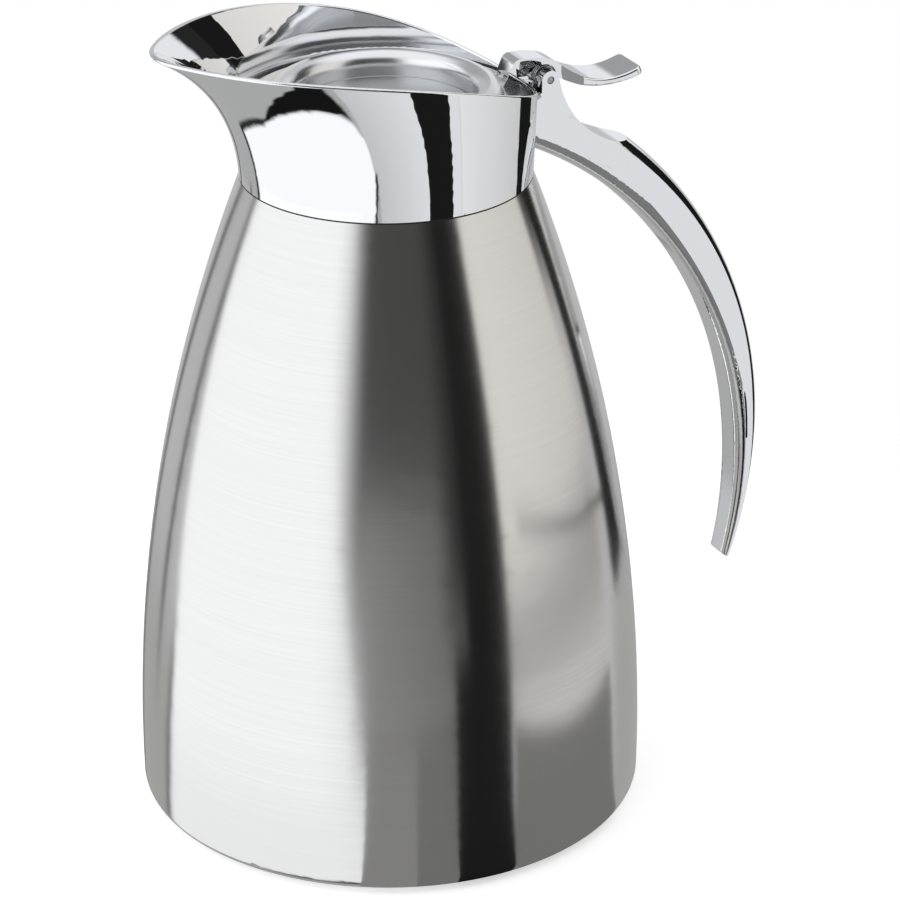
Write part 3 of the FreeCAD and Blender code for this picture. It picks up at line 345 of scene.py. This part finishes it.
def build_floor():
    """A pale disc that takes the pot's soft shadow and fades into the white surround."""
    mesh = bpy.data.meshes.new("floor")
    shape = bmesh.new()
    bmesh.ops.create_circle(shape, cap_ends=True, segments=FLOOR_SIDES, radius=FLOOR_FADE_END)
    shape.to_mesh(mesh)
    shape.free()
    floor = add_object("floor", mesh)
    material, tree = empty_material("floor_white")
    reach = node(tree, "ShaderNodeVectorMath", {0: place_of(tree)}, operation="LENGTH").outputs["Value"]
    fade = remap(tree, reach, FLOOR_FADE_START, FLOOR_FADE_END, smooth=True)
    matt = node(tree, "ShaderNodeBsdfDiffuse", {"Color": rgba(FLOOR_COLOUR)})
    glow = node(tree, "ShaderNodeEmission", {"Color": rgba(WHITE), "Strength": FLOOR_GLOW})
    pale = node(tree, "ShaderNodeAddShader", {0: matt.outputs[0], 1: glow.outputs[0]})
    clear = node(tree, "ShaderNodeBsdfTransparent")
    both = node(tree, "ShaderNodeMixShader", {0: fade, 1: pale.outputs[0], 2: clear.outputs[0]})
    node(tree, "ShaderNodeOutputMaterial", {"Surface": both.outputs[0]})
    mesh.materials.append(material)
    floor.visible_glossy = False


def build_camera():
    """The photo's viewpoint."""
    data = bpy.data.cameras.new("camera")
    data.lens = CAMERA_LENS
    data.sensor_width = SENSOR_WIDTH
    camera = add_object("camera", data)
    turn = math.radians(CAMERA_TURN)
    camera.location = (-CAMERA_REACH * math.sin(turn), -CAMERA_REACH * math.cos(turn), CAMERA_HEIGHT)
    camera.rotation_euler = (
        math.radians(HALF_TURN / 2 - CAMERA_TILT),
        0.0,
        -math.radians(CAMERA_TURN + CAMERA_YAW),
    )
    bpy.context.scene.camera = camera


# Finishes


def surface(name, colour, metallic, roughness, **settings):
    """A material with one principled shader; returns the material, its tree and the shader."""
    material, tree = empty_material(name)
    inputs = {"Base Color": rgba(colour), "Metallic": metallic, "Roughness": roughness}
    inputs.update(settings)
    shader = node(tree, "ShaderNodeBsdfPrincipled", inputs)
    node(tree, "ShaderNodeOutputMaterial", {"Surface": shader.outputs[0]})
    return material, tree, shader


def place_of(tree):
    """A point's own place on its piece, in metres."""
    return node(tree, "ShaderNodeTexCoord").outputs["Object"]


def flat_and_height(tree):
    """A point's place across the upright axis, and its height."""
    axes = node(tree, "ShaderNodeSeparateXYZ", {0: place_of(tree)}).outputs
    flat = node(tree, "ShaderNodeCombineXYZ", {"X": axes["X"], "Y": axes["Y"]}).outputs[0]
    return flat, axes["Z"]


def noise(tree, vector, scale=1.0, detail=2.0, rough=0.5):
    """Soft noise from 0 to 1 at a vector."""
    inputs = {"Vector": vector, "Scale": scale, "Detail": detail, "Roughness": rough}
    return node(tree, "ShaderNodeTexNoise", inputs).outputs["Fac"]


def streaks_round(tree, length, height):
    """Noise drawn out round the upright axis: length as a share of the radius, height in metres."""
    flat, level = flat_and_height(tree)
    outward = node(tree, "ShaderNodeVectorMath", {0: flat}, operation="NORMALIZE").outputs[0]
    outward = node(tree, "ShaderNodeVectorMath", {0: outward, "Scale": 1.0 / length}, operation="SCALE")
    rise = calculate(tree, "DIVIDE", level, height)
    lift = node(tree, "ShaderNodeCombineXYZ", {"Z": rise}).outputs[0]
    vector = node(tree, "ShaderNodeVectorMath", {0: outward.outputs[0], 1: lift}, operation="ADD")
    return noise(tree, vector.outputs[0])


def brush_round(tree, shader):
    """Draws the highlight out across a brushing that runs round the upright axis."""
    shader.inputs["Anisotropic Rotation"].default_value = BRUSH_TURN
    tangent = node(tree, "ShaderNodeTangent", direction_type="RADIAL", axis="Z").outputs[0]
    tree.links.new(tangent, shader.inputs["Tangent"])


def add_roughness(tree, shader, grain, low, high, first, last):
    """Lets the roughness go from first to last while a grain goes from low to high."""
    tree.links.new(remap(tree, grain, low, high, first, last), shader.inputs["Roughness"])


def add_bump(tree, shader, height, distance):
    """Turns a height pattern into fine relief."""
    bump = node(tree, "ShaderNodeBump", {"Height": height, "Distance": distance, "Strength": 1.0})
    tree.links.new(bump.outputs["Normal"], shader.inputs["Normal"])


def brushed_body():
    """Stainless wall brushed round the axis, with fine and broad streaks."""
    material, tree, shader = surface("brushed_body", (0.77, 0.765, 0.75), 1.0, 0.17, Anisotropic=0.5)
    brush_round(tree, shader)
    fine = calculate(tree, "MULTIPLY", streaks_round(tree, length=1.1, height=0.3 * MM), 0.7)
    broad = calculate(tree, "MULTIPLY", streaks_round(tree, length=2.2, height=1.8 * MM), 0.3)
    grain = calculate(tree, "ADD", fine, broad)
    tone = remap(tree, grain, GRAIN_LOW, GRAIN_HIGH)
    colour = mix_colour(tree, tone, (0.755, 0.75, 0.738), (0.785, 0.78, 0.766))
    tree.links.new(colour, shader.inputs["Base Color"])
    add_roughness(tree, shader, grain, GRAIN_LOW, GRAIN_HIGH, first=0.185, last=0.155)
    add_bump(tree, shader, grain, 0.0012 * MM)
    return material


def polished_chrome(name, colour, roughness):
    """Mirror plate with a very faint waviness."""
    material, tree, shader = surface(name, colour, 1.0, roughness)
    wave = noise(tree, place_of(tree), scale=60.0, detail=1.0)
    add_bump(tree, shader, wave, 0.02 * MM)
    return material


def brushed_inlay():
    """Disc brushed in circles about the lid's middle."""
    material, tree, shader = surface("brushed_inlay", (0.6, 0.61, 0.62), 1.0, 0.34, Anisotropic=0.7)
    brush_round(tree, shader)
    flat, _ = flat_and_height(tree)
    reach = node(tree, "ShaderNodeVectorMath", {0: flat}, operation="LENGTH").outputs["Value"]
    ring = calculate(tree, "DIVIDE", reach, 0.25 * MM)
    grain = noise(tree, node(tree, "ShaderNodeCombineXYZ", {"X": ring}).outputs[0], detail=3.0)
    add_roughness(tree, shader, grain, GRAIN_LOW, GRAIN_HIGH, first=0.42, last=0.28)
    add_bump(tree, shader, grain, 0.006 * MM)
    return material


def plain_metal(name, colour, roughness, grain_size):
    """Satin metal with a fine cloudy grain."""
    material, tree, shader = surface(name, colour, 1.0, roughness)
    grain = noise(tree, place_of(tree), scale=1.0 / grain_size, detail=3.0)
    duller, brighter = roughness + CLOUD_ROUGHNESS, roughness - CLOUD_ROUGHNESS
    add_roughness(tree, shader, grain, CLOUD_LOW, CLOUD_HIGH, duller, brighter)
    add_bump(tree, shader, grain, 0.01 * MM)
    return material


def moulded(name, colour, roughness, grain_size, relief):
    """Plastic, foam or rubber with a moulded grain."""
    material, tree, shader = surface(name, colour, 0.0, roughness)
    grain = noise(tree, place_of(tree), scale=1.0 / grain_size, detail=4.0, rough=0.6)
    dark = tuple(MOULDED_DARK * part for part in colour)
    tree.links.new(mix_colour(tree, grain, dark, colour), shader.inputs["Base Color"])
    add_bump(tree, shader, grain, relief)
    return material


FINISHES = {
    "brushed_body": brushed_body(),
    "plain_steel": plain_metal("plain_steel", (0.62, 0.62, 0.62), 0.32, 1.5 * MM),
    "inner_steel": plain_metal("inner_steel", (0.66, 0.66, 0.66), 0.28, 2.0 * MM),
    "polished_chrome": polished_chrome("polished_chrome", (0.90, 0.905, 0.915), 0.03),
    "lid_chrome": polished_chrome("lid_chrome", (0.87, 0.875, 0.895), 0.26),
    "brushed_inlay": brushed_inlay(),
    "fastener_steel": plain_metal("fastener_steel", (0.55, 0.55, 0.56), 0.25, 0.4 * MM),
    "spring_steel": plain_metal("spring_steel", (0.5, 0.5, 0.51), 0.22, 0.3 * MM),
    "braze": plain_metal("braze", (0.7, 0.58, 0.36), 0.5, 0.5 * MM),
    "getter_metal": plain_metal("getter_metal", (0.35, 0.35, 0.36), 0.6, 0.2 * MM),
    "pale_plastic": moulded("pale_plastic", (0.72, 0.72, 0.68), 0.45, 0.3 * MM, 0.01 * MM),
    "foam": moulded("foam", (0.85, 0.83, 0.76), 0.9, 0.8 * MM, 0.2 * MM),
    "black_rubber": moulded("black_rubber", (0.04, 0.04, 0.04), 0.6, 0.4 * MM, 0.02 * MM),
    "silicone": moulded("silicone", (0.75, 0.75, 0.74), 0.4, 0.6 * MM, 0.01 * MM),
}


def dress_nodes():
    """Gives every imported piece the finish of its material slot."""
    for part in frame["record"]["subparts"]:
        mesh = nodes[part["node"]].data
        mesh.materials.clear()
        mesh.materials.append(FINISHES[part["material_slot"]])


# Pieces


def spring_path():
    """Centre line of the lid spring's wire, from the leg on the slot's floor to the leg on the shelf."""
    start, end = math.radians(SPRING_START), math.radians(SPRING_START + SPRING_TURN)
    pin = Vector((PIN[0], 0.0, PIN[1]))

    def on_coil(share):
        angle = start + (end - start) * share
        along = SPRING_NEAR + (SPRING_FAR - SPRING_NEAR) * share
        return pin + Vector((SPRING_RADIUS * math.cos(angle), along, SPRING_RADIUS * math.sin(angle)))

    steps = round(SPRING_TURN / SPRING_STEP)
    coil = [on_coil(step / steps) for step in range(steps + 1)]
    first_way = Vector((-math.sin(start), 0.0, math.cos(start)))
    last_way = Vector((-math.sin(end), 0.0, math.cos(end)))
    drop = (coil[0].z - SLOT_FLOOR - SPRING_TOUCH) / first_way.z
    fall = (coil[-1].z - SHELF_TOP - SPRING_TOUCH) / -last_way.z
    lower = [coil[0] - first_way * drop * share for share in LOWER_LEG]
    upper = [coil[-1] + last_way * fall * share for share in UPPER_LEG]
    return lower + coil + upper


def sweep_wire(name, path, radius, sides):
    """Round wire along a path of points, smooth round its sides and with flat ends."""
    mesh = bpy.data.meshes.new(name)
    shape = bmesh.new()
    rings = []
    sideways = None
    for index, spot in enumerate(path):
        before, after = path[max(index - 1, 0)], path[min(index + 1, len(path) - 1)]
        way = (after - before).normalized()
        if sideways is None:
            sideways = way.orthogonal().normalized()
        sideways = (sideways - way * sideways.dot(way)).normalized()
        other = way.cross(sideways)
        ring = []
        for side in range(sides):
            turn = 2 * math.pi * side / sides
            outward = sideways * math.cos(turn) + other * math.sin(turn)
            ring.append(shape.verts.new(spot + outward * radius))
        rings.append(ring)
    for before, after in zip(rings, rings[1:]):
        for side in range(sides):
            follow = (side + 1) % sides
            face = shape.faces.new((before[side], before[follow], after[follow], after[side]))
            face.smooth = True
    shape.faces.new(list(reversed(rings[0])))
    shape.faces.new(rings[-1])
    bmesh.ops.recalc_face_normals(shape, faces=shape.faces)
    shape.to_mesh(mesh)
    shape.free()
    return add_object(name, mesh)


def build_spring():
    """Close-wound torsion spring on the hinge pin, in place of the plain packed one."""
    path = [spot * MM for spot in spring_path()]
    spring = sweep_wire("spring_wire", path, SPRING_WIRE / 2 * MM, SPRING_SIDES)
    spring.data.materials.append(FINISHES["spring_steel"])
    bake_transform(spring)
    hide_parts("lid_spring")


build_studio()
build_flags()
build_floor()
build_camera()
dress_nodes()
build_spring()
bpy.context.scene.view_settings.view_transform = "Standard"
